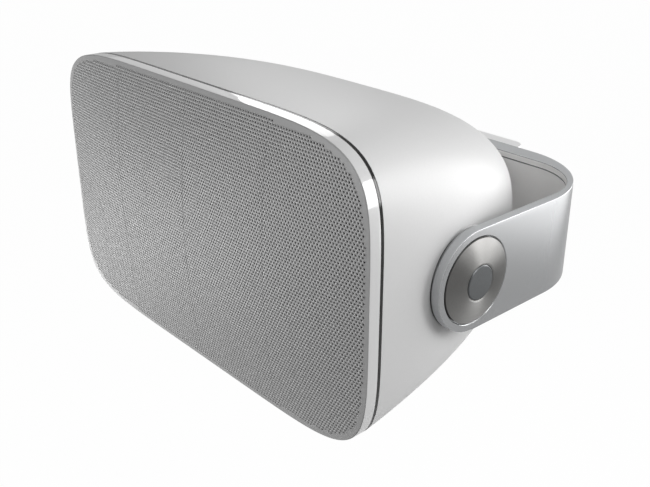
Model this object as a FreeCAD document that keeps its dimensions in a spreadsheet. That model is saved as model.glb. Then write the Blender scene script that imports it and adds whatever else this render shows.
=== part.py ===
import FreeCAD, Part
import math
import os
import Sketcher
from FreeCAD import Placement, Rotation, Vector

# Patio speaker on a U bracket. Millimetres. The wall plane is y = 0 and the speaker
# looks along -Y. X runs along the long side of the cabinet and Z is up.
# "Depth" is the distance behind the rim of the grille, along +Y.

doc = FreeCAD.newDocument("PatioSpeaker")
dim = doc.addObject("Spreadsheet::Sheet", "dim")

sizes = {
    # front outline, a rounded oblong given by two powers
    "frontLength": 288.0,
    "frontHeight": 172.6,
    "frontPowX": 6.74,
    "frontPowZ": 5.32,
    # where the tilt axis lies
    "pivotToFront": 71.2,
    "tiltClear": 1.8955,
    # grille tray
    "domeRise": 8.2,
    "domePowX": 2.8,
    "domePowZ": 2.0,
    "sheetThick": 1.0,
    "bandDepth": 7.55,
    "lipWidth": 12.5,
    "holeWidth": 4.2,
    "holePitch": 20.5,
    "plainBorder": 8.0,
    "clothInset": 6.0,
    "clothThick": 0.4,
    # gasket between grille and cabinet
    "gasketThick": 1.5,
    "gasketInset": 0.2,
    "gasketWidth": 3.2,
    # cabinet shell
    "cabinetDepth": 158.9,
    "bodyWall": 4.0,
    "lengthRunOut": 13.0,
    "lengthBend": 3.1,
    "lengthEase": 2.85,
    "heightRunOut": 13.0,
    "heightBend": 1.32,
    "heightEase": 3.28,
    "backPowX": 2.8,
    "backPowZ": 3.2,
    # baffle and its fixings
    "baffleThick": 9.0,
    "baffleGap": 0.3,
    "bossInset": 20.0,
    "bossRadius": 5.0,
    "bossLength": 22.0,
    "smallScrewRadius": 1.75,
    "smallHeadRadius": 3.4,
    "smallHeadHigh": 2.0,
    "smallScrewLength": 16.0,
    "magnetRadius": 4.0,
    "magnetThick": 3.2,
    "magnetInset": 9.0,
    "magnetGap": 0.1,
    # woofer
    "wooferX": -54.0,
    "wooferRadius": 74.0,
    "flangeThick": 3.0,
    "flangeInner": 60.0,
    "basketSkin": 2.4,
    "basketDepth": 45.0,
    "basketBackRadius": 46.0,
    "basketHole": 19.0,
    "windowHalf": 17.0,
    "wooferScrewCircle": 70.4,
    "wooferScrewRadius": 1.7,
    "wooferHeadRadius": 2.9,
    "driverScrewLength": 8.5,
    "rollInner": 51.0,
    "rollHigh": 4.6,
    "rubberThick": 0.8,
    "coneSkin": 0.9,
    "coneDeep": 23.0,
    "coilOuter": 16.6,
    "coilInner": 15.2,
    "coilEnd": 53.0,
    "topPlateThick": 5.0,
    "ringMagnetThick": 18.0,
    "ringMagnetRadius": 45.0,
    "poleRadius": 14.5,
    "gapRadius": 17.4,
    "yokeThick": 6.0,
    "ventRadius": 4.0,
    "spiderDepth": 35.0,
    "dustCapRadius": 22.0,
    "dustCapRise": 6.0,
    # tweeter
    "tweeterX": 78.0,
    "tweeterRadius": 37.0,
    "domeRadius": 12.5,
    "tweeterMouth": 14.0,
    "hornRadius": 24.0,
    "cupRadius": 27.0,
    "cupDepth": 21.0,
    "tweeterScrewCircle": 32.0,
    "tweeterScrewRadius": 1.3,
    "tweeterHeadRadius": 2.6,
    # tilt pivots
    "spacerThick": 1.6,
    "armThick": 5.2,
    "armHigh": 57.2,
    "capRadius": 23.6,
    "capRecess": 2.4,
    "capGap": 0.5,
    "capRise": 3.2,
    "plugRadius": 9.6,
    "boltRadius": 4.0,
    "boltHeadRadius": 7.0,
    "boltHeadHigh": 2.9,
    "boltReach": 13.0,
    "runningGap": 0.05,
    "padSink": 2.2,
    "padRadius": 27.3,
    "frictionThick": 1.1,
    "insertRadius": 7.0,
    "insertLength": 16.0,
    # bracket strap and wall plate
    "plateLength": 162.0,
    "plateThick": 8.6,
    "plateRound": 8.2,
    "spineThick": 12.1,
    "cornerRadius": 57.0,
    "innerCornerRadius": 38.0,
    "linerDrop": 4.2,
    "linerGroove": 0.9,
    "strapEdge": 0.4,
    "capChamfer": 0.4,
    "boltSink": 6.0,
    "wallHoleX": 124.0,
    "wallHoleZ": 36.0,
    "wallHoleRadius": 2.75,
    "strapBoltX": 90.0,
    # terminal recess in the back
    "recessLength": 92.0,
    "recessHeight": 54.0,
    "recessDeep": 16.0,
    "recessLedge": 6.0,
    "recessRound": 6.0,
    "cupWall": 3.0,
    "coverHeadRadius": 2.8,
    "coverHeadHigh": 1.6,
    "pilotRadius": 1.25,
    "pilotDepth": 8.0,
    "coverThick": 4.0,
    "coverGap": 0.4,
    "sealThick": 1.5,
    "glandX": 22.0,
    "glandZ": -10.0,
    "glandBore": 3.2,
    "glandNeck": 6.0,
    "glandFlange": 8.0,
    "blockLength": 40.0,
    "blockHeight": 15.0,
    "blockHigh": 9.0,
    "blockX": -12.0,
    "blockZ": 4.0,
    "wayPitch": 12.0,
    "wayRadius": 1.4,
    "wellRadius": 2.6,
    # crossover
    "boardLength": 92.0,
    "boardHeight": 56.0,
    "boardThick": 1.6,
    "postHigh": 8.0,
    "postRadius": 3.2,
    "postInset": 6.0,
    "boardScrewLength": 7.0,
    "coilBore": 5.0,
    "bigCoilRadius": 15.0,
    "bigCoilHigh": 16.0,
    "smallCoilRadius": 10.0,
    "smallCoilHigh": 12.0,
    "capacitorRadius": 5.5,
    "capacitorLength": 24.0,
    "resistorLength": 9.0,
    "resistorHeight": 22.0,
    "resistorHigh": 8.0,
    # damping pads
    "foamThick": 16.0,
    "foamGap": 0.3,
    "foamReach": 54.0,
    "foamDeep": 70.0,
    "foamHeight": 104.0,
}
for row, (alias, value) in enumerate(sizes.items(), start=1):
    dim.set(f"A{row}", alias)
    dim.set(f"B{row}", str(value))
    dim.setAlias(f"B{row}", alias)
doc.recompute()


def size(alias):
    return float(getattr(dim, alias))


def number(expression):
    return float(dim.evalExpression(expression))


# Places that follow from the sizes, as expressions for the sketches
shellExpr = "(dim.bandDepth + dim.gasketThick)"
backReachExpr = f"({shellExpr} + dim.cabinetDepth - dim.pivotToFront)"
backShareExpr = "(dim.cabinetDepth / (dim.cabinetDepth + dim.heightRunOut))"
backHalfExpr = f"(dim.frontHeight / 2 * (1 - {backShareExpr} ^ dim.heightBend) ^ (1 / dim.heightEase))"
sweepExpr = f"sqrt({backReachExpr} ^ 2 + {backHalfExpr} ^ 2)"
wallReachExpr = f"({sweepExpr} + dim.tiltClear + dim.spineThick + dim.plateThick)"
frontExpr = f"(-dim.pivotToFront - {wallReachExpr})"
padExpr = "(dim.frontLength / 2 - dim.padSink)"
armExpr = f"({padExpr} + dim.frictionThick + dim.spacerThick + dim.armThick)"

halfLength = size("frontLength") / 2
halfHeight = size("frontHeight") / 2
shellStart = number(shellExpr)
backDepth = shellStart + size("cabinetDepth")
frontY = number(frontExpr)
pivotY = -number(wallReachExpr)
padFace = number(padExpr)
armFace = number(armExpr)

parts = []


def keep(item, label):
    item.Label = label
    parts.append(item)
    return item


def feature(label, shape):
    item = doc.addObject("Part::Feature", label)
    item.Shape = shape
    return keep(item, label)


# Rounded oblongs, all from one formula
def ovalPoints(a, b, powX, powZ, y, steps=8):
    turn = math.sin(math.pi / 4)
    zTurn = turn ** (2 / powZ)
    xTurn = turn ** (2 / powX)
    quarter = []
    for k in range(steps + 1):
        ratio = zTurn * k / steps
        angle = math.asin(min(1.0, ratio ** (powZ / 2)))
        quarter.append((a * math.cos(angle) ** (2 / powX), b * ratio))
    for k in range(steps - 1, -1, -1):
        ratio = xTurn * k / steps
        angle = math.acos(min(1.0, ratio ** (powX / 2)))
        quarter.append((a * ratio, b * math.sin(angle) ** (2 / powZ)))
    second = [(-x, z) for x, z in reversed(quarter[1:-1])]
    half = quarter + second
    lower = [(-x, -z) for x, z in half]
    return [Vector(x, y, z) for x, z in half + lower]


def ovalWire(a, b, powX, powZ, y):
    curve = Part.BSplineCurve()
    curve.interpolate(Points=ovalPoints(a, b, powX, powZ, y), PeriodicFlag=True)
    return Part.Wire(curve.toShape())


def frontWire(inset, depth):
    return ovalWire(halfLength - inset, halfHeight - inset,
                    size("frontPowX"), size("frontPowZ"), frontY + depth)


def frontSlab(inset, start, end):
    return Part.Face(frontWire(inset, start)).extrude(Vector(0, end - start, 0))


# Half length, half height and powers of the cabinet's section at a depth
def shellSection(depth, inset):
    behind = max(0.0, depth - shellStart)
    share = behind / size("cabinetDepth")
    lengthApex = size("cabinetDepth") + size("lengthRunOut")
    heightApex = size("cabinetDepth") + size("heightRunOut")
    lengthShare = 1 - (behind / lengthApex) ** size("lengthBend")
    heightShare = 1 - (behind / heightApex) ** size("heightBend")
    a = halfLength * lengthShare ** (1 / size("lengthEase"))
    b = halfHeight * heightShare ** (1 / size("heightEase"))
    powX = size("frontPowX") + (size("backPowX") - size("frontPowX")) * share
    powZ = size("backPowZ") + (size("frontPowZ") - size("backPowZ")) * (1 - share) ** 3
    return a - inset, b - inset, powX, powZ


def shellLoft(inset, start, end):
    shares = (0, 0.14, 0.30, 0.48, 0.66, 0.81, 0.92, 1)
    wires = []
    for share in shares:
        depth = start + (end - start) * share
        wires.append(ovalWire(*shellSection(depth, inset), frontY + depth))
    return Part.makeLoft(wires, True, False)


# Height of the grille's dome in front of its rim
def domeHeight(x, z):
    along = 1 - abs(x / halfLength) ** size("domePowX")
    up = 1 - abs(z / halfHeight) ** size("domePowZ")
    return size("domeRise") * max(along, -0.05) * max(up, -0.05)


def domeFace(shift, columns=13, rows=9):
    margin = 1.01
    grid = []
    for i in range(columns):
        x = halfLength * margin * (2 * i / (columns - 1) - 1)
        line = []
        for j in range(rows):
            z = halfHeight * margin * (2 * j / (rows - 1) - 1)
            line.append(Vector(x, frontY - domeHeight(x, z) + shift, z))
        grid.append(line)
    surface = Part.BSplineSurface()
    surface.interpolate(grid)
    return surface.toShape()


def underDome(inset, shift, end):
    block = frontSlab(inset, -2 * size("domeRise"), end)
    return block.cut(domeFace(shift).extrude(Vector(0, -4 * size("domeRise"), 0)))


# Sketches: closed outlines whose corners are tied to the sheet.
# A corner is (x, y), or (x, y, midX, midY) where an arc leads to it.
def outline(body, role, corners, name):
    sketch = body.newObject("Sketcher::SketchObject", name)
    plane = next(item for item in body.Origin.OriginFeatures if item.Role == role)
    sketch.AttachmentSupport = [(plane, "")]
    sketch.MapMode = "FlatFace"
    spots = [Vector(number(corner[0]), number(corner[1]), 0) for corner in corners]
    count = len(corners)
    for k in range(count):
        target = corners[(k + 1) % count]
        start, end = spots[k], spots[(k + 1) % count]
        if len(target) == 2:
            sketch.addGeometry(Part.LineSegment(start, end), False)
        else:
            middle = Vector(number(target[2]), number(target[3]), 0)
            anticlockwise = (middle - start).cross(end - middle).z > 0
            first, last = (start, end) if anticlockwise else (end, start)
            sketch.addGeometry(Part.Arc(first, middle, last), False)
    for k in range(count):
        startPoint = arcStart(sketch, k, spots[k])
        before = (k - 1) % count
        endPoint = 3 - arcStart(sketch, before, spots[before])
        sketch.addConstraint(Sketcher.Constraint("Coincident", before, endPoint, k, startPoint))
        for axis, expression, value in (("DistanceX", corners[k][0], spots[k].x),
                                        ("DistanceY", corners[k][1], spots[k].y)):
            if abs(value) < 1e-9:
                line = -2 if axis == "DistanceX" else -1
                sketch.addConstraint(Sketcher.Constraint("PointOnObject", k, startPoint, line))
                continue
            index = sketch.addConstraint(Sketcher.Constraint(axis, -1, 1, k, startPoint, value))
            sketch.setExpression(f"Constraints[{index}]", expression)
        if hasattr(sketch.Geometry[k], "Radius"):
            tieCentre(sketch, k, spots[k], spots[(k + 1) % count])
    return sketch


# An arc's ends are tied already, so one coordinate of its centre settles it
def tieCentre(sketch, k, start, end):
    centre = sketch.Geometry[k].Center
    flat = abs(end.x - start.x) > abs(end.y - start.y)
    axis, value, line = ("DistanceY", centre.y, -1) if flat else ("DistanceX", centre.x, -2)
    if abs(value) < 1e-9:
        sketch.addConstraint(Sketcher.Constraint("PointOnObject", k, 3, line))
    else:
        sketch.addConstraint(Sketcher.Constraint(axis, -1, 1, k, 3, value))


# Which end of piece k lies at the spot: 1 for its start, 2 for its end
def arcStart(sketch, k, spot):
    return 1 if sketch.Geometry[k].StartPoint.distanceToPoint(spot) < 1e-6 else 2


def place(item, x, y, z, turn=None):
    if turn is not None:
        item.Placement = Placement(Vector(0, 0, 0), turn)
    for axis, expression in (("x", x), ("y", y), ("z", z)):
        item.setExpression(f"Placement.Base.{axis}", expression)
    return item


# A turned piece: corners are (radius, distance along the axis), about local Y
def turned(label, corners):
    body = doc.addObject("PartDesign::Body", label)
    sketch = outline(body, "XY_Plane", corners, label + "_profile")
    spin = body.newObject("PartDesign::Revolution", label + "_spin")
    spin.Profile = sketch
    spin.ReferenceAxis = (sketch, ["V_Axis"])
    spin.Angle = 360
    sketch.Visibility = False
    body.Tip = spin
    return keep(body, label)


# Round holes on a circle about the origin of a body's plane, as one cut
def screwHoles(body, role, circle, radius, count, first):
    sketch = body.newObject("Sketcher::SketchObject", body.Name + "_screw_holes")
    plane = next(item for item in body.Origin.OriginFeatures if item.Role == role)
    sketch.AttachmentSupport = [(plane, "")]
    sketch.MapMode = "FlatFace"
    for k in range(count):
        turn = math.radians(first + 360 / count * k)
        centre = Vector(number(circle) * math.cos(turn), number(circle) * math.sin(turn), 0)
        sketch.addGeometry(Part.Circle(centre, Vector(0, 0, 1), number(radius)), False)
        rim = sketch.addConstraint(Sketcher.Constraint("Radius", k, number(radius)))
        sketch.setExpression(f"Constraints[{rim}]", radius)
        for axis, value, share, line in (("DistanceX", centre.x, math.cos(turn), -2),
                                         ("DistanceY", centre.y, math.sin(turn), -1)):
            if abs(value) < 1e-9:
                sketch.addConstraint(Sketcher.Constraint("PointOnObject", k, 3, line))
                continue
            index = sketch.addConstraint(Sketcher.Constraint(axis, -1, 1, k, 3, value))
            sketch.setExpression(f"Constraints[{index}]", f"{circle} * {share}")
    holes = body.newObject("PartDesign::Pocket", body.Name + "_screw_cut")
    holes.Profile = sketch
    holes.Type = "ThroughAll"
    holes.Midplane = True
    sketch.Visibility = False
    body.Tip = holes


# A ring or disc between two radii and two distances along its axis
def ring(label, inner, outer, start, end):
    return turned(label, [(inner, start), (outer, start), (outer, end), (inner, end)])


def onWoofer(item):
    return place(item, "dim.wooferX", frontExpr, "0")


def onTweeter(item):
    return place(item, "dim.tweeterX", frontExpr, "0")


# Local Y of a pivot piece runs outwards along X, from the middle of the cabinet
def onPivot(item, side):
    turn = Rotation(Vector(0, 0, 1), -90 * side)
    return place(item, "0", "-" + wallReachExpr, "0", turn)


def cylinder(radius, x, start, end, z):
    return Part.makeCylinder(radius, end - start, Vector(x, frontY + start, z), Vector(0, 1, 0))


def crossCylinder(radius, start, end, side):
    return Part.makeCylinder(radius, end - start, Vector(side * start, pivotY, 0), Vector(side, 0, 0))


def roundedBox(length, height, x, z, start, end, radius):
    box = Part.makeBox(length, end - start, height,
                       Vector(x - length / 2, frontY + start, z - height / 2))
    edges = [edge for edge in box.Edges
             if abs(edge.Vertexes[0].Y - edge.Vertexes[1].Y) > (end - start) / 2]
    return box.makeFillet(radius, edges)


def fuse(shapes):
    return shapes[0].multiFuse(shapes[1:]).removeSplitter()


# Screws of one kind, as one node of separate solids. The axis runs along Y.
def screws(label, spots, head, shank, length, headHigh, seat):
    solids = []
    for x, z in spots:
        solids.append(fuse([cylinder(head, x, seat - headHigh, seat, z),
                            cylinder(shank, x, seat, seat + length, z)]))
    return feature(label, Part.makeCompound(solids))


# Wall plate, rounded at its two ends on the wall side
def wallPlate():
    body = doc.addObject("PartDesign::Body", "plate_blank")
    edge = "(dim.plateLength / 2)"
    flat = "(dim.plateLength / 2 - dim.plateRound)"
    bend = "dim.plateRound * 0.2929"
    corners = [
        ("-" + edge, "-dim.plateThick"),
        (edge, "-dim.plateThick"),
        (edge, "-dim.plateRound"),
        (flat, "0", f"{edge} - {bend}", f"-{bend}"),
        ("-" + flat, "0"),
        ("-" + edge, "-dim.plateRound", f"-({edge} - {bend})", f"-{bend}"),
    ]
    sketch = outline(body, "XY_Plane", corners, "plate_outline")
    pad = body.newObject("PartDesign::Pad", "plate_pad")
    pad.Profile = sketch
    pad.Midplane = True
    pad.setExpression("Length", "dim.armHigh")
    sketch.Visibility = False
    body.Tip = pad
    doc.recompute()
    shape = body.Shape
    holes = []
    for sx in (-1, 1):
        for sz in (-1, 1):
            spot = Vector(sx * size("wallHoleX") / 2, 0, sz * size("wallHoleZ") / 2)
            radius = size("wallHoleRadius")
            holes.append(Part.makeCylinder(radius, 3 * size("plateThick"),
                                           spot - Vector(0, 2 * size("plateThick"), 0), Vector(0, 1, 0)))
            holes.append(Part.makeCone(2 * radius, radius, radius,
                                       spot - Vector(0, size("plateThick"), 0), Vector(0, 1, 0)))
        spot = Vector(sx * size("strapBoltX") / 2, -size("plateThick"), 0)
        holes.append(Part.makeCylinder(size("boltRadius"), size("plateThick") - 1.5,
                                       spot, Vector(0, 1, 0)))
    feature("wall_plate", shape.cut(holes))


# Breaks every sharp edge of a solid, and leaves the seams of its smooth bends
def breakEdges(solid, width):
    solid = solid.removeSplitter()
    sharp = []
    for edge in solid.Edges:
        faces = solid.ancestorsOfType(edge, Part.Face)
        if len(faces) != 2:
            continue
        spot = edge.valueAt((edge.FirstParameter + edge.LastParameter) / 2)
        first, second = [face.normalAt(*face.Surface.parameter(spot)) for face in faces]
        if first.getAngle(second) > math.radians(45):
            sharp.append(edge)
    return solid.makeChamfer(width, sharp)


# The bent strap: two arms and a thicker spine, with round arm ends
def bracketStrap():
    outer = armFace
    inner = outer - size("armThick")
    spineBack = -size("plateThick")
    spineFront = spineBack - size("spineThick")
    end = pivotY - size("armHigh") / 2
    big = size("cornerRadius")
    small = size("innerCornerRadius")

    def bend(x, y, radius, side):
        k = radius * (1 - math.sqrt(0.5))
        return Part.Arc(Vector(side * x, y - radius, 0), Vector(side * (x - k), y - k, 0),
                        Vector(side * (x - radius), y, 0)).toShape()

    def line(x1, y1, x2, y2):
        return Part.LineSegment(Vector(x1, y1, 0), Vector(x2, y2, 0)).toShape()

    def channel(out, back, inn, front, rOut, rIn, low, high):
        edges = [
            line(out, end, out, back - rOut), bend(out, back, rOut, 1),
            line(out - rOut, back, rOut - out, back), bend(out, back, rOut, -1),
            line(-out, back - rOut, -out, end), line(-out, end, -inn, end),
            line(-inn, end, -inn, front - rIn), bend(inn, front, rIn, -1),
            line(rIn - inn, front, inn - rIn, front), bend(inn, front, rIn, 1),
            line(inn, front - rIn, inn, end), line(inn, end, out, end),
        ]
        face = Part.Face(Part.Wire(Part.__sortEdges__(edges)))
        face.translate(Vector(0, 0, low))
        return face.extrude(Vector(0, 0, high - low))

    top = size("armHigh") / 2
    shape = channel(outer, spineBack, inner, spineFront, big, small, -top, top)
    # what lies ahead of the pivots is cut back to round ends
    ahead = Part.makeBox(3 * outer, top + 1, 2 * top + 2, Vector(-1.5 * outer, end - 1, -top - 1))
    ends = Part.makeCylinder(top, 3 * outer, Vector(-1.5 * outer, pivotY, 0), Vector(1, 0, 0))
    shape = breakEdges(shape.cut(ahead.cut(ends)), size("strapEdge"))
    # a fine groove runs round the inner face below each rim
    depth = size("linerGroove")
    for side in (-1, 1):
        middle = side * (top - size("linerDrop"))
        groove = channel(inner + depth, spineFront + depth, inner - 1, spineFront - 1,
                         small + depth, small - 1, middle - depth / 2, middle + depth / 2)
        trim = Part.makeBox(3 * outer, 2 * top, 3 * top,
                            Vector(-1.5 * outer, pivotY - 2 * top + size("padRadius") + 14, -1.5 * top))
        shape = shape.cut(groove.cut(trim))
    # pivot holes with recesses for the caps, and counterbored holes for the plate bolts
    cuts = []
    for side in (-1, 1):
        cuts.append(crossCylinder(size("boltRadius") + 0.25, inner - 1, outer + 1, side))
        mouth, chamfer = size("capRadius") + size("capGap"), size("capChamfer")
        cuts.append(crossCylinder(mouth, outer - size("capRecess"), outer + 1, side))
        cuts.append(Part.makeCone(mouth, mouth + chamfer + 1, chamfer + 1,
                                  Vector(side * (outer - chamfer), pivotY, 0), Vector(side, 0, 0)))
        spot = Vector(side * size("strapBoltX") / 2, spineFront, 0)
        cuts.append(Part.makeCylinder(size("boltRadius") + 0.25, size("spineThick"),
                                      spot, Vector(0, 1, 0)))
        cuts.append(Part.makeCylinder(size("boltHeadRadius") + 0.5, size("boltSink"),
                                      spot, Vector(0, 1, 0)))
    feature("bracket_strap", shape.cut(cuts))


def strapBolts():
    spineFront = -size("plateThick") - size("spineThick")
    seat = spineFront + size("boltSink") - frontY
    spots = [(side * size("strapBoltX") / 2, 0) for side in (-1, 1)]
    length = size("spineThick") - size("boltSink") + size("plateThick") - 2.5
    screws("strap_bolts", spots, size("boltHeadRadius"), size("boltRadius") - 0.02, length, 5, seat)


def pivots():
    spacer = f"({armExpr} - dim.armThick)"
    floor = f"({armExpr} - dim.capRecess)"
    friction = f"({padExpr} + dim.frictionThick)"
    bore = "(dim.boltRadius + 0.25)"
    for side, word in ((-1, "left"), (1, "right")):
        cap = turned("pivot_cap_" + word, [
            ("dim.boltHeadRadius + 0.4", floor),
            ("dim.capRadius", floor),
            ("dim.capRadius", armExpr + " + 0.3"),
            ("dim.plugRadius + 1.2", armExpr + " + dim.capRise - 0.3",
             "dim.capRadius * 0.62 + dim.plugRadius * 0.38", armExpr + " + dim.capRise * 0.62"),
            ("dim.plugRadius + 0.3", armExpr + " + dim.capRise - 0.5"),
            ("dim.plugRadius + 0.3", floor + " + dim.boltHeadHigh + 0.1"),
            ("dim.boltHeadRadius + 0.4", floor + " + dim.boltHeadHigh + 0.1"),
        ])
        plug = turned("pivot_plug_" + word, [
            ("0", floor + " + dim.boltHeadHigh + 0.1"),
            ("dim.plugRadius", floor + " + dim.boltHeadHigh + 0.1"),
            ("dim.plugRadius", armExpr + " + dim.capRise - 0.5"),
            ("dim.plugRadius - 0.5", armExpr + " + dim.capRise"),
            ("0", armExpr + " + dim.capRise"),
        ])
        bolt = turned("pivot_bolt_" + word, [
            ("0", padExpr + " - dim.boltReach"),
            ("dim.boltRadius", padExpr + " - dim.boltReach"),
            ("dim.boltRadius", floor),
            ("dim.boltHeadRadius", floor),
            ("dim.boltHeadRadius", floor + " + dim.boltHeadHigh"),
            ("0", floor + " + dim.boltHeadHigh"),
        ])
        boss = ring("pivot_spacer_" + word, bore, "dim.padRadius", friction, spacer)
        washer = ring("friction_washer_" + word, bore, "dim.padRadius - 1", padExpr, friction)
        insert = ring("pivot_insert_" + word, "dim.boltRadius + dim.runningGap",
                      "dim.insertRadius", padExpr + " - dim.insertLength", padExpr)
        for item in (cap, plug, bolt, boss, washer, insert):
            onPivot(item, side)


screwSpots = [(sx * (halfLength - size("bossInset")), sz * (halfHeight - size("bossInset")))
              for sx in (-1, 1) for sz in (-1, 1)]
betweenX = (size("wooferX") + size("wooferRadius") + size("tweeterX") - size("tweeterRadius")) / 2
magnetSpots = [(-halfLength + size("magnetInset"), 0), (halfLength - size("magnetInset"), 0),
               (betweenX, halfHeight - size("magnetInset")), (betweenX, size("magnetInset") - halfHeight)]


def circleSpots(centreX, radius, count, first):
    turns = [math.radians(first + 360 / count * k) for k in range(count)]
    return [(centreX + radius * math.cos(turn), radius * math.sin(turn)) for turn in turns]


wooferSpots = circleSpots(size("wooferX"), size("wooferScrewCircle"), 6, 0)
tweeterSpots = circleSpots(size("tweeterX"), size("tweeterScrewCircle"), 4, 45)
postSpots = [(sx * (size("boardLength") / 2 - size("postInset")),
              sz * (size("boardHeight") / 2 - size("postInset")))
             for sx in (-1, 1) for sz in (-1, 1)]
coverSpots = [(sx * (size("recessLength") - size("recessLedge")) / 2,
               sz * (size("recessHeight") - size("recessLedge")) / 2) for sx in (-1, 1) for sz in (-1, 1)]
cupFloor = backDepth - size("recessDeep") - size("cupWall")


# Moulded cabinet: a hollow loft with pivot bosses, screw bosses and a cup in its back
def cabinetShell():
    wall = size("bodyWall")
    ledge = shellStart + size("baffleThick")
    skin = shellLoft(0, shellStart, backDepth)
    hollow = shellLoft(wall, shellStart, backDepth - wall)
    shape = skin.cut(hollow)
    inside = []
    for side in (-1, 1):
        inside.append(crossCylinder(size("padRadius"), padFace - 6, padFace, side))
        inside.append(crossCylinder(size("insertRadius") + 4, padFace - size("insertLength") - 4,
                                    padFace - 1, side))
    for x, z in screwSpots:
        inside.append(cylinder(size("bossRadius"), x, ledge, ledge + size("bossLength"), z))
    cupWall = size("cupWall")
    cup = roundedBox(size("recessLength") + 2 * cupWall, size("recessHeight") + 2 * cupWall, 0, 0,
                     cupFloor, backDepth - 1, size("recessRound") + cupWall)
    inside.append(cup)
    for x, z in postSpots:
        inside.append(cylinder(size("postRadius"), x, cupFloor - size("postHigh"), cupFloor + 1, z))
    shape = shape.multiFuse(inside)
    cuts = []
    for side in (-1, 1):
        cuts.append(crossCylinder(size("padRadius") + 1.2, padFace, halfLength + 10, side))
        cuts.append(crossCylinder(size("insertRadius"), padFace - size("insertLength"),
                                  padFace + 1, side))
    for x, z in screwSpots:
        cuts.append(cylinder(size("smallScrewRadius"), x, ledge - 1, ledge + size("bossLength") - 4, z))
    for x, z in postSpots:
        cuts.append(cylinder(size("pilotRadius"), x, cupFloor - size("postHigh") - 1, cupFloor, z))
    mouth = size("coverThick") + size("sealThick")
    cuts.append(roundedBox(size("recessLength"), size("recessHeight"), 0, 0,
                           backDepth - mouth, backDepth + 1, size("recessRound")))
    ledgeWide = 2 * size("recessLedge")
    cuts.append(roundedBox(size("recessLength") - ledgeWide, size("recessHeight") - ledgeWide, 0, 0,
                           backDepth - size("recessDeep"), backDepth, 3))
    for x, z in coverSpots:
        cuts.append(cylinder(size("pilotRadius"), x, backDepth - mouth - size("pilotDepth"),
                             backDepth - mouth + 1, z))
    feature("cabinet_shell", shape.cut(cuts))


def baffle():
    start, end = shellStart, shellStart + size("baffleThick")
    rim = ovalWire(*shellSection(end, size("bodyWall") + size("baffleGap")), frontY + start)
    plate = Part.Face(rim).extrude(Vector(0, end - start, 0))
    flush = size("flangeThick") + 0.1
    cuts = [
        cylinder(size("wooferRadius") + 0.5, size("wooferX"), start - 1, start + flush, 0),
        cylinder(size("flangeInner") + size("basketSkin") + 4.6, size("wooferX"), start, end + 1, 0),
        cylinder(size("tweeterRadius") + 0.4, size("tweeterX"), start - 1, start + flush, 0),
        cylinder(size("cupRadius") + 1.5, size("tweeterX"), start, end + 1, 0),
    ]
    head = size("smallHeadRadius") + 0.3
    for x, z in screwSpots:
        cuts.append(cylinder(size("smallScrewRadius") + 0.3, x, start, end + 1, z))
        cuts.append(cylinder(head, x, start - 1, start + size("smallHeadHigh") + 0.5, z))
    for x, z in wooferSpots:
        cuts.append(cylinder(size("wooferScrewRadius"), x, start, end + 1, z))
    for x, z in tweeterSpots:
        cuts.append(cylinder(size("tweeterScrewRadius"), x, start, end + 1, z))
    pit = size("magnetThick") - size("gasketThick") + size("magnetGap")
    for x, z in magnetSpots:
        cuts.append(cylinder(size("magnetRadius"), x, start - 1, start + pit, z))
    feature("front_baffle", plate.cut(cuts))
    screws("baffle_screws", screwSpots, size("smallHeadRadius"), size("smallScrewRadius"),
           size("smallScrewLength"), size("smallHeadHigh"), start + size("smallHeadHigh") + 0.5)
    feature("grille_magnets", Part.makeCompound(
        [cylinder(size("magnetRadius"), x, start + pit - size("magnetThick"), start + pit, z)
         for x, z in magnetSpots]))
    inset = size("gasketInset")
    feature("baffle_gasket", frontSlab(inset, size("bandDepth"), shellStart).cut(
        frontSlab(inset + size("gasketWidth"), size("bandDepth") - 1, shellStart + 1)))


# Pressed grille tray: a shallow dome, a plain border, a return band and a folded lip
def grille():
    sheet, band = size("sheetThick"), size("bandDepth")
    tray = underDome(0, 0, band).cut(underDome(sheet, sheet, band + 1))
    lip = frontSlab(sheet / 2, band - sheet, band).cut(
        frontSlab(sheet + size("lipWidth"), band - 2 * sheet, band + sheet))
    tray = tray.fuse(lip).removeSplitter()
    pitch = size("holePitch")
    rowStep = pitch * math.sqrt(0.75)
    rows = int((halfHeight - size("plainBorder")) / rowStep)
    holes = []
    for row in range(-rows, rows + 1):
        shift = pitch / 2 if row % 2 else 0.0
        columns = int(halfLength / pitch) + 1
        for column in range(-columns, columns + 1):
            x, z = column * pitch + shift, row * rowStep
            across = abs(x / (halfLength - size("plainBorder"))) ** size("frontPowX")
            upward = abs(z / (halfHeight - size("plainBorder"))) ** size("frontPowZ")
            if across + upward < 1:
                corners = [Vector(x + size("holeWidth") / 2 * math.cos(math.radians(60 * k)),
                                  frontY - 2 * size("domeRise"),
                                  z + size("holeWidth") / 2 * math.sin(math.radians(60 * k)))
                           for k in range(7)]
                hexagon = Part.Face(Part.makePolygon(corners))
                holes.append(hexagon.extrude(Vector(0, 2 * size("domeRise") + 2 * sheet, 0)))
    feature("grille", tray.cut(Part.makeCompound(holes)))
    front = sheet + 0.1
    back = front + size("clothThick")
    cloth = underDome(size("clothInset"), front, band - 3).cut(underDome(0, back, band))
    feature("grille_cloth", cloth)


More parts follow.
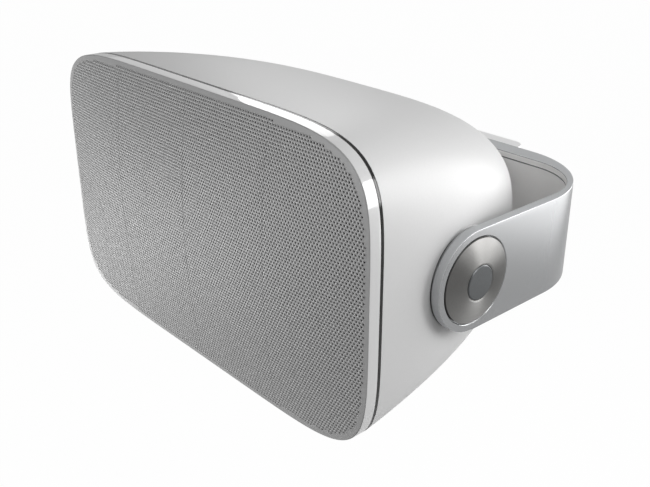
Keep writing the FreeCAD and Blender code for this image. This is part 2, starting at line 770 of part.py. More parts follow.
def woofer():
    start = shellExpr
    basket = turned("woofer_basket", [
        ("dim.flangeInner", start),
        ("dim.wooferRadius", start),
        ("dim.wooferRadius", start + " + dim.flangeThick"),
        ("dim.flangeInner + 4 + dim.basketSkin", start + " + dim.flangeThick"),
        ("dim.basketBackRadius", start + " + dim.basketDepth"),
        ("dim.basketHole", start + " + dim.basketDepth"),
        ("dim.basketHole", start + " + dim.basketDepth - dim.basketSkin"),
        ("dim.basketBackRadius - dim.basketSkin", start + " + dim.basketDepth - dim.basketSkin"),
        ("dim.flangeInner + 4", start + " + dim.flangeThick"),
        ("dim.flangeInner", start + " + dim.flangeThick"),
    ])
    window = outline(basket, "XZ_Plane", [
        ("dim.basketBackRadius + 1", "-dim.windowHalf"),
        ("dim.flangeInner - 1", "-dim.windowHalf"),
        ("dim.flangeInner - 1", "dim.windowHalf"),
        ("dim.basketBackRadius + 1", "dim.windowHalf"),
    ], "basket_window")
    cut = basket.newObject("PartDesign::Pocket", "basket_window_cut")
    cut.Profile = window
    cut.Type = "ThroughAll"
    cut.Reversed = True
    window.Visibility = False
    spokes = basket.newObject("PartDesign::PolarPattern", "basket_spokes")
    spokes.Originals = [cut]
    spokes.Axis = (window, ["N_Axis"])
    spokes.Angle = 360
    spokes.Occurrences = 6
    screwHoles(basket, "XZ_Plane", "dim.wooferScrewCircle", "dim.wooferScrewRadius", 6, 0)
    back = start + " + dim.basketDepth"
    plate = back + " + dim.topPlateThick"
    magnetEnd = plate + " + dim.ringMagnetThick"
    pieces = [
        basket,
        ring("woofer_top_plate", "dim.gapRadius", "dim.basketBackRadius - 3", back, plate),
        ring("woofer_magnet", "dim.gapRadius + 6", "dim.ringMagnetRadius", plate, magnetEnd),
        turned("woofer_pole_piece", [
            ("dim.ventRadius", back),
            ("dim.poleRadius", back),
            ("dim.poleRadius", magnetEnd),
            ("dim.ringMagnetRadius - 1", magnetEnd),
            ("dim.ringMagnetRadius - 1", magnetEnd + " + dim.yokeThick"),
            ("dim.ventRadius", magnetEnd + " + dim.yokeThick"),
        ]),
        turned("woofer_surround", [
            ("dim.rollInner - 2.5", start + " - dim.rubberThick"),
            ("dim.rollInner - 2.5", start),
            ("dim.rollInner", start),
            ("dim.flangeInner", start, "(dim.rollInner + dim.flangeInner) / 2", start + " - dim.rollHigh"),
            ("dim.flangeInner + 5", start),
            ("dim.flangeInner + 5", start + " - dim.rubberThick"),
            ("dim.flangeInner", start + " - dim.rubberThick"),
            ("dim.rollInner", start + " - dim.rubberThick",
             "(dim.rollInner + dim.flangeInner) / 2", start + " - dim.rollHigh - dim.rubberThick"),
        ]),
        turned("woofer_cone", [
            ("dim.coilOuter", start + " + dim.coneDeep"),
            ("dim.rollInner - 2.5", start),
            ("dim.rollInner - 0.5", start),
            ("dim.rollInner - 0.5", start + " + dim.coneSkin"),
            ("dim.rollInner - 2.2", start + " + dim.coneSkin"),
            ("dim.coilOuter", start + " + dim.coneDeep + dim.coneSkin * 1.3"),
        ]),
        ring("woofer_voice_coil", "dim.coilInner", "dim.coilOuter",
             start + " + dim.coneDeep - 1", start + " + dim.coilEnd"),
        turned("woofer_spider", [
            ("dim.coilOuter", start + " + dim.spiderDepth"),
            ("dim.coilOuter + 8", start + " + dim.spiderDepth + 2.5"),
            ("dim.coilOuter + 14", start + " + dim.spiderDepth - 0.5"),
            ("dim.coilOuter + 20", start + " + dim.spiderDepth + 2.5"),
            ("dim.basketBackRadius - 0.6", start + " + dim.spiderDepth"),
            ("dim.basketBackRadius - 0.6", start + " + dim.spiderDepth + 0.7"),
            ("dim.coilOuter + 20", start + " + dim.spiderDepth + 3.2"),
            ("dim.coilOuter + 14", start + " + dim.spiderDepth + 0.2"),
            ("dim.coilOuter + 8", start + " + dim.spiderDepth + 3.2"),
            ("dim.coilOuter", start + " + dim.spiderDepth + 0.7"),
        ]),
    ]
    # the dust cap stands on the cone where the cone is as wide as the cap
    slope = "(dim.coneDeep / (dim.rollInner - 2.5 - dim.coilOuter))"
    foot = f"({start} + dim.coneDeep - (dim.dustCapRadius - dim.coilOuter) * {slope})"
    pieces.append(turned("woofer_dust_cap", [
        ("0", foot + " - dim.dustCapRise"),
        ("dim.dustCapRadius", foot, "dim.dustCapRadius * 0.53", foot + " - dim.dustCapRise * 0.73"),
        ("dim.dustCapRadius - 1", foot + " + 0.5"),
        ("0", foot + " - dim.dustCapRise + 0.8",
         "dim.dustCapRadius * 0.5", foot + " - dim.dustCapRise * 0.76 + 0.8"),
    ]))
    for piece in pieces:
        onWoofer(piece)
    screws("woofer_screws", wooferSpots, size("wooferHeadRadius"), size("wooferScrewRadius"),
           size("driverScrewLength"), 1.8, shellStart)


def tweeter():
    start = shellExpr
    plate = onTweeter(turned("tweeter_faceplate", [
        ("dim.tweeterMouth", start + " + dim.flangeThick"),
        ("dim.hornRadius", start),
        ("dim.tweeterRadius", start),
        ("dim.tweeterRadius", start + " + dim.flangeThick"),
        ("dim.cupRadius", start + " + dim.flangeThick"),
        ("dim.cupRadius", start + " + dim.flangeThick + 1.5"),
        ("dim.tweeterMouth", start + " + dim.flangeThick + 1.5"),
    ]))
    screwHoles(plate, "XZ_Plane", "dim.tweeterScrewCircle", "dim.tweeterScrewRadius", 4, 45)
    screws("tweeter_screws", tweeterSpots, size("tweeterHeadRadius"), size("tweeterScrewRadius"),
           size("driverScrewLength"), 1.5, shellStart)
    face = start + " + dim.flangeThick + 1.5"
    onTweeter(ring("tweeter_top_plate", "dim.domeRadius + 1", "dim.cupRadius - 2",
                   face + " + 1.5", face + " + 4.5"))
    onTweeter(ring("tweeter_magnet", "dim.domeRadius + 3", "dim.cupRadius - 2",
                   face + " + 4.5", face + " + 11"))
    onTweeter(turned("tweeter_yoke", [
        ("0", face + " + 2"),
        ("dim.domeRadius - 1.5", face + " + 2"),
        ("dim.domeRadius - 1.5", face + " + 11"),
        ("dim.cupRadius - 2", face + " + 11"),
        ("dim.cupRadius - 2", face + " + 14"),
        ("0", face + " + 14"),
    ]))
    onTweeter(turned("tweeter_cup", [
        ("dim.cupRadius - 2", face),
        ("dim.cupRadius", face),
        ("dim.cupRadius", start + " + dim.cupDepth"),
        ("0", start + " + dim.cupDepth"),
        ("0", face + " + 14"),
        ("dim.cupRadius - 2", face + " + 14"),
    ]))
    crown = start + " - 1.5"
    onTweeter(turned("tweeter_dome", [
        ("0", crown),
        ("dim.domeRadius", crown + " + 4.4", "dim.domeRadius * 0.52", crown + " + 1.12"),
        ("dim.domeRadius", crown + " + 5"),
        ("dim.domeRadius - 0.5", crown + " + 5"),
        ("0", crown + " + 0.5", "dim.domeRadius * 0.5", crown + " + 1.65"),
    ]))
    onTweeter(ring("tweeter_voice_coil", "dim.domeRadius - 0.9", "dim.domeRadius - 0.1",
                   crown + " + 5", face + " + 5"))


def backPieces():
    gap = size("coverGap")
    mouth = size("coverThick") + size("sealThick")
    length, height = size("recessLength"), size("recessHeight")
    ledge = 2 * size("recessLedge")
    cover = roundedBox(length - 2 * gap, height - 2 * gap, 0, 0,
                       backDepth - size("coverThick"), backDepth, size("recessRound") - gap)
    seal = roundedBox(length - 2 * gap, height - 2 * gap, 0, 0,
                      backDepth - mouth, backDepth - size("coverThick"), size("recessRound") - gap)
    seal = seal.cut(roundedBox(length - ledge, height - ledge, 0, 0, backDepth - mouth - 1, backDepth, 3))
    holes = [cylinder(1.6, x, backDepth - mouth - 1, backDepth + 1, z) for x, z in coverSpots]
    gland = cylinder(size("glandNeck"), size("glandX"), backDepth - size("coverThick") - 1, backDepth + 1, size("glandZ"))
    feature("terminal_cover", cover.cut(holes + [gland]))
    feature("cover_seal", seal.cut(holes))
    heads = [fuse([cylinder(size("coverHeadRadius"), x, backDepth, backDepth + size("coverHeadHigh"), z),
                   cylinder(size("pilotRadius"), x, backDepth - mouth - size("pilotDepth") + 1,
                            backDepth, z)]) for x, z in coverSpots]
    feature("cover_screws", Part.makeCompound(heads))
    place(turned("cable_gland", [
        ("dim.glandBore", "-dim.coverThick - 4"),
        ("dim.glandFlange", "-dim.coverThick - 4"),
        ("dim.glandFlange", "-dim.coverThick"),
        ("dim.glandNeck - dim.runningGap", "-dim.coverThick"),
        ("dim.glandNeck - dim.runningGap", "0"),
        ("7.5", "0"),
        ("7.5", "3"),
        ("5.5", "5"),
        ("dim.glandBore", "5"),
    ]), "dim.glandX", frontExpr + " + " + shellExpr + " + dim.cabinetDepth", "dim.glandZ")
    floor = backDepth - size("recessDeep")
    middle, high = size("blockZ"), size("blockHigh")
    block = roundedBox(size("blockLength"), size("blockHeight"), size("blockX"), middle,
                       floor, floor + high, 1.5)
    wayX = [size("blockX") + k * size("wayPitch") for k in (-1, 0, 1)]
    wells = [cylinder(size("wellRadius"), x, floor + 3, floor + high + 1, middle) for x in wayX]
    ways = [Part.makeCylinder(size("wayRadius"), size("blockHeight") / 2 + 1,
                              Vector(x, frontY + floor + 3, middle - size("blockHeight") / 2 - 1),
                              Vector(0, 0, 1)) for x in wayX]
    feature("terminal_block", block.cut(wells + ways))
    feature("terminal_screws", Part.makeCompound(
        [cylinder(size("wellRadius") - 0.2, x, floor + 4.6, floor + 7.6, middle) for x in wayX]))


def crossover():
    boardBack = cupFloor - size("postHigh")
    boardFront = boardBack - size("boardThick")
    board = roundedBox(size("boardLength"), size("boardHeight"), 0, 0, boardFront, boardBack, 3)
    feature("crossover_board", board.cut([cylinder(1.5, x, boardFront - 1, boardBack + 1, z)
                                          for x, z in postSpots]))
    screws("board_screws", postSpots, size("coverHeadRadius"), size("pilotRadius"),
           size("boardScrewLength"), size("coverHeadHigh"), boardFront)
    coils = [cylinder(size(word + "CoilRadius"), x, boardFront - size(word + "CoilHigh"), boardFront, z).cut(
        cylinder(size("coilBore"), x, boardFront - size(word + "CoilHigh") - 1, boardFront + 1, z))
        for word, x, z in (("big", -20, 6), ("small", 16, -12))]
    feature("crossover_coils", Part.makeCompound(coils))
    radius = size("capacitorRadius")
    caps = [Part.makeCylinder(radius, size("capacitorLength"),
                              Vector(x, frontY + boardFront - radius - 0.1, z), Vector(1, 0, 0))
            for x, z in ((2, 12), (-34, -19))]
    feature("crossover_capacitors", Part.makeCompound(caps))
    feature("crossover_resistor", roundedBox(size("resistorLength"), size("resistorHeight"), 34, 0,
                                             boardFront - size("resistorHigh"), boardFront, 1))


# Foam pads that line the two ends of the cabinet, cut away round the pivot bosses
def dampingFoam():
    gap = size("foamGap")
    lining = shellLoft(size("bodyWall") + gap, shellStart, backDepth - size("bodyWall") - gap)
    room = lining.cut(shellLoft(size("bodyWall") + size("foamThick"), shellStart,
                                backDepth - size("bodyWall") - size("foamThick")))
    begin = shellStart + size("baffleThick") + size("bossLength") + 3
    reach, height = size("foamReach"), size("foamHeight")
    for side, word in ((-1, "left"), (1, "right")):
        low = halfLength - reach if side > 0 else -halfLength
        block = Part.makeBox(reach, size("foamDeep"), height, Vector(low, frontY + begin, -height / 2))
        pad = room.common(block)
        pad = pad.cut(crossCylinder(size("padRadius") + 1.5, halfLength - reach, halfLength, side))
        feature("damping_pad_" + word, pad)


wallPlate()
bracketStrap()
strapBolts()
pivots()
cabinetShell()
baffle()
grille()
woofer()
tweeter()
backPieces()
crossover()
dampingFoam()
doc.recompute()

for item in doc.Objects:
    if "Invalid" in item.State or "Error" in item.State:
        raise RuntimeError(f"{item.Name} did not compute: {item.State}")
for item in parts:
    if item.Shape.isNull() or not item.Shape.isValid():
        raise RuntimeError(f"{item.Label} has no valid shape")

os.makedirs("parts", exist_ok=True)
for item in parts:
    item.Shape.exportStep(os.path.join("parts", item.Label + ".step"))
    print(item.Label, len(item.Shape.Solids), round(item.Shape.Volume))
print(len(parts), "parts written")
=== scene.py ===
import bmesh
import bpy
import math
from mathutils import Matrix, Vector


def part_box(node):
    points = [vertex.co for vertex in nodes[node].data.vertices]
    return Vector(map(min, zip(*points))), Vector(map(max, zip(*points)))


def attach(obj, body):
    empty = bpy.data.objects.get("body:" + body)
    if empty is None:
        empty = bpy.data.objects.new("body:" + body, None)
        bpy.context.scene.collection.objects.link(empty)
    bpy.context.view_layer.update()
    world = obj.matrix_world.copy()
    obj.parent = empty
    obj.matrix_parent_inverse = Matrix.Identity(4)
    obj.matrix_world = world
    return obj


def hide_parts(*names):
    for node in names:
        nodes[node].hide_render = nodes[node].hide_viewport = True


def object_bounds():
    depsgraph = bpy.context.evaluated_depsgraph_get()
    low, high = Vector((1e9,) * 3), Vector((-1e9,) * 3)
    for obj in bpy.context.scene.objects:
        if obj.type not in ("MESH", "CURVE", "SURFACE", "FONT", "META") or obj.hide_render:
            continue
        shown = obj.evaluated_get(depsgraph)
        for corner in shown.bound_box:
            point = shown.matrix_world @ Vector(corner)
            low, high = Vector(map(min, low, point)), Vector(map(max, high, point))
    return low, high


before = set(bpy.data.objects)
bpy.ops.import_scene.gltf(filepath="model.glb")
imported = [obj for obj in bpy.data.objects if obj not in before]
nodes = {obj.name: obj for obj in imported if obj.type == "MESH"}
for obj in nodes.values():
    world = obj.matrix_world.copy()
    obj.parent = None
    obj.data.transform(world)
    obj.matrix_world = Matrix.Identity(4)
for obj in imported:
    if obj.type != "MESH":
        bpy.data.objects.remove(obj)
cadLow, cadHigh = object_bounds()
print("frame loaded:", len(nodes), "nodes")

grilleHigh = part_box("grille")[1]
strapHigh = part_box("bracket_strap")[1]
capLow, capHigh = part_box("pivot_cap_right")
mergeDistance = 1e-6

# The rounded oblong that the grille and the cabinet share, in metres
front = {
    "halfLength": grilleHigh.x,
    "halfHeight": grilleHigh.z,
    "powX": 6.74,
    "powZ": 5.32,
    "bandDepth": 0.00755,
    "domeRise": 0.0082,
    "domePowX": 2.8,
    "domePowZ": 2.0,
}
front["rim"] = grilleHigh.y - front["bandDepth"]  # the plane of the front rim
pivotY = (capLow.y + capHigh.y) / 2


def domeHeight(x, z):
    along = 1 - abs(x / front["halfLength"]) ** front["domePowX"]
    up = 1 - abs(z / front["halfHeight"]) ** front["domePowZ"]
    return front["domeRise"] * max(along, 0) * max(up, 0)


def insideOval(x, z, insetX, insetZ):
    across = abs(x / (front["halfLength"] - insetX)) ** front["powX"]
    upward = abs(z / (front["halfHeight"] - insetZ)) ** front["powZ"]
    return across + upward < 1


def ovalSpots(count, inset, fine=9000):
    # evenly spaced points round the oblong, picked from many fine steps
    a, b = front["halfLength"] - inset, front["halfHeight"] - inset
    spots = []
    for k in range(fine + 1):
        turn = 2 * math.pi * k / fine
        c, s = math.cos(turn), math.sin(turn)
        spots.append(Vector((math.copysign(a * abs(c) ** (2 / front["powX"]), c), 0,
                             math.copysign(b * abs(s) ** (2 / front["powZ"]), s))))
    lengths = [0.0]
    for before, after in zip(spots, spots[1:]):
        lengths.append(lengths[-1] + (after - before).length)
    even, k = [], 0
    for n in range(count):
        goal = lengths[-1] * n / count
        while lengths[k + 1] < goal:
            k += 1
        share = (goal - lengths[k]) / max(lengths[k + 1] - lengths[k], 1e-12)
        even.append(spots[k].lerp(spots[k + 1], share))
    return even


# Small helpers
def finishPiece(name, bm, body, material, replaced=(), smoothAngle=35, smooth=True):
    mesh = bpy.data.meshes.new(name)
    bm.to_mesh(mesh)
    bm.free()
    mesh.polygons.foreach_set("use_smooth", [smooth] * len(mesh.polygons))
    mesh.set_sharp_from_angle(angle=math.radians(smoothAngle))
    piece = bpy.data.objects.new(name, mesh)
    bpy.context.scene.collection.objects.link(piece)
    piece.data.materials.append(material)
    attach(piece, body)
    if replaced:
        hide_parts(*replaced)
    return piece


def dress(names, material):
    # gives CAD nodes their finish
    for name in names:
        piece = nodes[name]
        if piece.material_slots:
            for holder in piece.material_slots:
                holder.link = "OBJECT"
                holder.material = material
        else:
            piece.data.materials.append(material)


def addModifier(piece, kind, **settings):
    modifier = piece.modifiers.new(kind.lower(), kind)
    for key, value in settings.items():
        setattr(modifier, key, value)
    return modifier


# Materials
def newMaterial(name, color, rough, metal=0.0, **sockets):
    material = bpy.data.materials.new(name)
    material.use_nodes = True
    shader = material.node_tree.nodes["Principled BSDF"]
    shader.inputs["Base Color"].default_value = (*color, 1)
    shader.inputs["Roughness"].default_value = rough
    shader.inputs["Metallic"].default_value = metal
    for key, value in sockets.items():
        shader.inputs[key.replace("_", " ")].default_value = value
    return material


def addNode(material, kind, **settings):
    node = material.node_tree.nodes.new(kind)
    for key, value in settings.items():
        if key in node.inputs:
            node.inputs[key].default_value = value
        else:
            setattr(node, key, value)
    return node


def join(material, source, output, target, socket):
    material.node_tree.links.new(source.outputs[output], target.inputs[socket])


def addGrain(material, scale, depth, detail=4.0, stretch=(1, 1, 1), distance=0.001):
    # fine relief from a noise on Object coordinates
    shader = material.node_tree.nodes["Principled BSDF"]
    place = addNode(material, "ShaderNodeTexCoord")
    spread = addNode(material, "ShaderNodeMapping")
    spread.inputs["Scale"].default_value = stretch
    noise = addNode(material, "ShaderNodeTexNoise", Scale=scale, Detail=detail)
    bump = addNode(material, "ShaderNodeBump", Strength=depth, Distance=distance)
    join(material, place, "Object", spread, "Vector")
    join(material, spread, "Vector", noise, "Vector")
    join(material, noise, "Fac", bump, "Height")
    join(material, bump, "Normal", shader, "Normal")
    return noise


def addTint(material, noise, low, high, start=0.35, end=0.65):
    # slight colour change that follows a noise
    shader = material.node_tree.nodes["Principled BSDF"]
    ramp = addNode(material, "ShaderNodeValToRGB")
    ramp.color_ramp.elements[0].color = (*low, 1)
    ramp.color_ramp.elements[1].color = (*high, 1)
    ramp.color_ramp.elements[0].position = start
    ramp.color_ramp.elements[1].position = end
    join(material, noise, "Fac", ramp, "Fac")
    join(material, ramp, "Color", shader, "Base Color")


def grey(level, warm=0.0):
    return (level * (1 + warm), level, level * (1 - warm))


cabinetPaint = newMaterial("cabinet_moulding", grey(0.56), 0.44)
addTint(cabinetPaint, addGrain(cabinetPaint, 900, 0.02), grey(0.555), grey(0.565))
bandPaint = newMaterial("grille_band_paint", grey(0.58), 0.30, Coat_Weight=1.0, Coat_Roughness=0.03)
addTint(bandPaint, addGrain(bandPaint, 1200, 0.01), grey(0.575), grey(0.585))
facePaint = newMaterial("grille_face_paint", grey(0.335), 0.45)
addTint(facePaint, addGrain(facePaint, 1500, 0.05), grey(0.325), grey(0.345))
strapPaint = newMaterial("strap_paint", grey(0.36, -0.015), 0.22, 0.7)
addTint(strapPaint, addGrain(strapPaint, 1400, 0.02), grey(0.355, -0.015), grey(0.365, -0.015))
linerPaint = newMaterial("strap_liner", grey(0.80, 0.01), 0.6)
addTint(linerPaint, addGrain(linerPaint, 1400, 0.06), grey(0.79, 0.01), grey(0.81, 0.01))
# the strap paint made lighter: a painted highlight of sky and fill light on the strap's rims, also given
# to the pivot spacers
skyLitRimPaint = newMaterial("strap_rim_painted_skylight", grey(0.46, -0.02), 0.42, 0.25)
addTint(skyLitRimPaint, addGrain(skyLitRimPaint, 1400, 0.04), grey(0.45, -0.02), grey(0.47, -0.02))
platePaint = newMaterial("plate_paint", grey(0.80), 0.45)
addTint(platePaint, addGrain(platePaint, 1100, 0.06), grey(0.79), grey(0.81))
clothBlack = newMaterial("dust_cloth", grey(0.11), 0.9, Sheen_Weight=0.2)
addTint(clothBlack, addGrain(clothBlack, 2500, 0.4), grey(0.095), grey(0.125))
rubberBlack = newMaterial("black_rubber", grey(0.018), 0.7)
addTint(rubberBlack, addGrain(rubberBlack, 1600, 0.15), grey(0.015), grey(0.022))
gasketBlack = newMaterial("gasket_ring", grey(0.012), 0.1)
addTint(gasketBlack, addGrain(gasketBlack, 1600, 0.03), grey(0.010), grey(0.014))
plasticBlack = newMaterial("black_plastic", grey(0.03), 0.5)
addTint(plasticBlack, addGrain(plasticBlack, 1300, 0.12), grey(0.026), grey(0.034))
steelBright = newMaterial("plated_steel", grey(0.60), 0.3, 1.0)
addTint(steelBright, addGrain(steelBright, 1200, 0.05), grey(0.57), grey(0.62))
steelDark = newMaterial("coated_steel", grey(0.05), 0.45, 0.6)
addTint(steelDark, addGrain(steelDark, 900, 0.1), grey(0.045), grey(0.06))
ferriteGrey = newMaterial("ferrite", grey(0.07), 0.65)
addTint(ferriteGrey, addGrain(ferriteGrey, 700, 0.2), grey(0.055), grey(0.085))
brassTurned = newMaterial("turned_brass", (0.66, 0.46, 0.18), 0.28, 1.0)
addTint(brassTurned, addGrain(brassTurned, 500, 0.06), (0.62, 0.43, 0.16), (0.68, 0.48, 0.20))
spunMetal = newMaterial("spun_aluminium", (0.20, 0.198, 0.193), 0.42, 1.0, Anisotropic=0.85,
                        Anisotropic_Rotation=0.25)
addTint(spunMetal, addGrain(spunMetal, 900, 0.03), (0.195, 0.193, 0.188), (0.205, 0.203, 0.198))
turning = addNode(spunMetal, "ShaderNodeTangent", direction_type="RADIAL", axis="X")
join(spunMetal, turning, "Tangent", spunMetal.node_tree.nodes["Principled BSDF"], "Tangent")
plugMetal = newMaterial("plug_metal", (0.115, 0.12, 0.123), 0.38, 1.0)
addTint(plugMetal, addGrain(plugMetal, 900, 0.03), (0.11, 0.115, 0.118), (0.12, 0.125, 0.128))
conePolymer = newMaterial("cone_polymer", grey(0.06), 0.55)
addTint(conePolymer, addGrain(conePolymer, 300, 0.1), grey(0.05), grey(0.07))
spiderCloth = newMaterial("spider_cloth", (0.42, 0.31, 0.12), 0.8)
addTint(spiderCloth, addGrain(spiderCloth, 1500, 0.3), (0.36, 0.26, 0.10), (0.46, 0.35, 0.15))
copperWire = newMaterial("copper_winding", (0.62, 0.27, 0.12), 0.3, 1.0)
windings = addGrain(copperWire, 60, 0.4, stretch=(1, 60, 1))
addTint(copperWire, windings, (0.55, 0.22, 0.10), (0.66, 0.30, 0.14))
titaniumDome = newMaterial("titanium_dome", grey(0.5), 0.35, 1.0)
addTint(titaniumDome, addGrain(titaniumDome, 800, 0.05), grey(0.47), grey(0.53))
boardGreen = newMaterial("circuit_board", (0.02, 0.10, 0.04), 0.4)
addTint(boardGreen, addGrain(boardGreen, 250, 0.1), (0.015, 0.085, 0.035), (0.03, 0.12, 0.05))
filmGold = newMaterial("capacitor_wrap", (0.55, 0.36, 0.05), 0.35)
addTint(filmGold, addGrain(filmGold, 400, 0.08), (0.50, 0.32, 0.04), (0.58, 0.39, 0.07))
ceramicWhite = newMaterial("cement_coat", grey(0.72), 0.8)
addTint(ceramicWhite, addGrain(ceramicWhite, 600, 0.3), grey(0.66), grey(0.76))
feltGrey = newMaterial("polyester_felt", grey(0.12), 0.95, Sheen_Weight=0.5)
addTint(feltGrey, addGrain(feltGrey, 350, 0.8), grey(0.08), grey(0.16))

dress(["cabinet_shell", "terminal_cover"], cabinetPaint)
dress(["wall_plate"], platePaint)
# the spacers take the lighter rim paint with its painted highlight
dress(["pivot_spacer_left", "pivot_spacer_right"], skyLitRimPaint)
dress(["woofer_surround", "cover_seal", "friction_washer_left", "friction_washer_right"],
      rubberBlack)
dress(["baffle_gasket"], gasketBlack)
dress(["front_baffle", "tweeter_faceplate", "terminal_block", "cable_gland", "tweeter_cup"],
      plasticBlack)
dress(["pivot_cap_left", "pivot_cap_right"], spunMetal)
dress(["pivot_plug_left", "pivot_plug_right"], plugMetal)
dress(["strap_bolts", "pivot_bolt_left", "pivot_bolt_right", "baffle_screws", "woofer_screws",
       "tweeter_screws", "cover_screws", "board_screws", "terminal_screws"], steelBright)
dress(["woofer_basket", "woofer_top_plate", "woofer_pole_piece", "tweeter_top_plate", "tweeter_yoke"],
      steelDark)
dress(["woofer_magnet", "tweeter_magnet", "grille_magnets"], ferriteGrey)
dress(["pivot_insert_left", "pivot_insert_right"], brassTurned)
dress(["woofer_cone", "woofer_dust_cap"], conePolymer)
dress(["woofer_spider"], spiderCloth)
dress(["woofer_voice_coil", "tweeter_voice_coil", "crossover_coils"], copperWire)
dress(["tweeter_dome"], titaniumDome)
dress(["crossover_board"], boardGreen)
dress(["crossover_capacitors"], filmGold)
dress(["crossover_resistor"], ceramicWhite)
print("finishes made")

# The perforated face, in bricks of one hole each, cut into strips
perforation = {
    "pitch": 0.0021,
    "holeRadius": 0.0006,
    "sideBorder": 0.0030,  # from the rim to the middle of the outermost holes
    "topBorder": 0.0033,
    "sheet": 0.001,
    "strips": 4,
    "sides": 8,  # of each hole
    "insetParts": 5,  # of the pitch, one of which is the ring that a hole starts from
}


def perforatedFace():
    stepX = perforation["pitch"] / 2
    stepZ = perforation["pitch"] * math.sqrt(0.75) / 2
    columns = 2 * math.ceil(front["halfLength"] / stepX / 2)
    rows = 2 * math.ceil(front["halfHeight"] / stepZ / 2)
    bm = bmesh.new()
    stretch = Matrix.Diagonal((columns * stepX, rows * stepZ, 1, 1))
    tip = Matrix.Rotation(math.radians(90), 4, "X")
    bmesh.ops.create_grid(bm, x_segments=2 * columns, y_segments=2 * rows, size=1, matrix=tip @ stretch)
    centres = []
    for vert in bm.verts:
        column, row = round(vert.co.x / stepX), round(vert.co.z / stepZ)
        staggered = (column - (row - 1) // 2) % 2 == 0
        if row % 2 == 1 and staggered and insideOval(vert.co.x, vert.co.z, perforation["sideBorder"],
                                                     perforation["topBorder"]):
            centres.append(vert)
    kept = {face for vert in centres for face in vert.link_faces}
    bmesh.ops.delete(bm, geom=[face for face in bm.faces if face not in kept], context="FACES")
    bmesh.ops.dissolve_verts(bm, verts=centres)
    return bm


def punchHoles(bm):
    # every brick gets a hole with straight sides, which is then made round
    bmesh.ops.inset_individual(bm, faces=bm.faces[:], use_even_offset=True,
                               thickness=perforation["pitch"] / perforation["insetParts"])
    inner = [face for face in bm.faces if all(not edge.is_boundary for edge in face.edges)
             and len(face.verts) == perforation["sides"]]
    for face in inner:
        centre = face.calc_center_bounds()
        for vert in face.verts:
            vert.co = centre + (vert.co - centre).normalized() * perforation["holeRadius"]
    bmesh.ops.delete(bm, geom=inner, context="FACES")
    return len(inner)


def raiseDome(bm):
    for vert in bm.verts:
        vert.co.y = front["rim"] - domeHeight(vert.co.x, vert.co.z)


def facesForward(bm):
    for face in bm.faces:
        if face.normal.y > 0:
            face.normal_flip()


field = perforatedFace()
# the outline of the field, which the border meets
stepped = [(edge.verts[0].co.copy(), edge.verts[1].co.copy()) for edge in field.edges if edge.is_boundary]
print("holes:", punchHoles(field))
raiseDome(field)
field.normal_update()
facesForward(field)
stripWidth = 2 * front["halfLength"] / perforation["strips"]
for number in range(perforation["strips"]):
    strip = field.copy()
    low = -front["halfLength"] + number * stripWidth
    outside = [face for face in strip.faces if (face.calc_center_median().x - low) // stripWidth != 0]
    bmesh.ops.delete(strip, geom=outside, context="FACES")
    piece = finishPiece(f"grille_face_{number + 1}", strip, "cabinet", facePaint,
                        ["grille"], smooth=False)
    addModifier(piece, "SOLIDIFY", thickness=perforation["sheet"], offset=-1)
field.free()
print("perforated face made")

# The plain border, the rolled rim, the return band and the folded lip
tray = {
    "around": 360,
    "borderRings": [0.0013, 0.0004],
    "rimRadius": 0.0002,
    "rimSteps": 2,
    "rearGap": 0.0005,  # the dark slit between the band and the ring behind it
    "bandRows": (0.35, 0.7),  # shares of the band's depth
    "lipWidth": 0.0135,
    "sheet": 0.001,
    "faceReach": 0.0003,  # what lies this near the rim looks forward
    "paintLine": 0.00015,  # behind it the band's paint begins
    "flatFacing": -0.95,
    "smoothAngle": 50,
    "normalWeight": 90,
}


def ovalLoop(bm, inset, depth, onDome=False):
    made = bmesh.ops.create_circle(bm, cap_ends=False, radius=1, segments=tray["around"])["verts"]
    for vert, spot in zip(made, ovalSpots(tray["around"], inset)):
        y = front["rim"] + depth
        if onDome:
            y = front["rim"] - domeHeight(spot.x, spot.z)
        vert.co = Vector((spot.x, y, spot.z))
    wanted = set(made)
    return [edge for edge in bm.edges if edge.verts[0] in wanted and edge.verts[1] in wanted]


def trayBorder():
    bm = bmesh.new()
    made = {}
    edges = []
    for ends in stepped:
        verts = []
        for spot in ends:
            key = (round(spot.x, 6), round(spot.z, 6))
            if key not in made:
                made[key] = bm.verts.new((spot.x, 0, spot.z))
            verts.append(made[key])
        edges.append(bm.edges.new(verts))
    first = ovalLoop(bm, tray["borderRings"][0], 0)
    for edge in first:
        for vert in edge.verts:
            vert.co.y = 0
    bmesh.ops.triangle_fill(bm, use_beauty=True, edges=edges + first, normal=(0, -1, 0))
    for vert in bm.verts:
        vert.co.y = front["rim"] - domeHeight(vert.co.x, vert.co.z)
    loops = [first]
    for inset in tray["borderRings"][1:]:
        loops.append(ovalLoop(bm, inset, 0, True))
    radius = tray["rimRadius"]
    for step in range(tray["rimSteps"] + 1):
        turn = math.pi / 2 * step / tray["rimSteps"]
        loops.append(ovalLoop(bm, radius * (1 - math.sin(turn)), radius * (1 - math.cos(turn))))
    rear = front["bandDepth"] - tray["rearGap"]
    for share in tray["bandRows"]:
        loops.append(ovalLoop(bm, 0, rear * share))
    loops.append(ovalLoop(bm, 0, rear - radius / 2))
    loops.append(ovalLoop(bm, radius / 2, rear))
    for before, after in zip(loops, loops[1:]):
        bmesh.ops.bridge_loops(bm, edges=before + after)
    folded = bmesh.ops.extrude_edge_only(bm, edges=loops[-1])["geom"]
    lip = [item for item in folded if isinstance(item, bmesh.types.BMVert)]
    bmesh.ops.scale(bm, verts=lip, vec=(1 - tray["lipWidth"] / front["halfLength"], 1,
                                        1 - tray["lipWidth"] / front["halfHeight"]))
    bmesh.ops.recalc_face_normals(bm, faces=bm.faces[:])
    forward = [face for face in bm.faces if face.calc_center_median().y < front["rim"] + tray["faceReach"]]
    if sum(face.normal.y * face.calc_area() for face in forward) > 0:
        bmesh.ops.reverse_faces(bm, faces=bm.faces[:])
    return bm


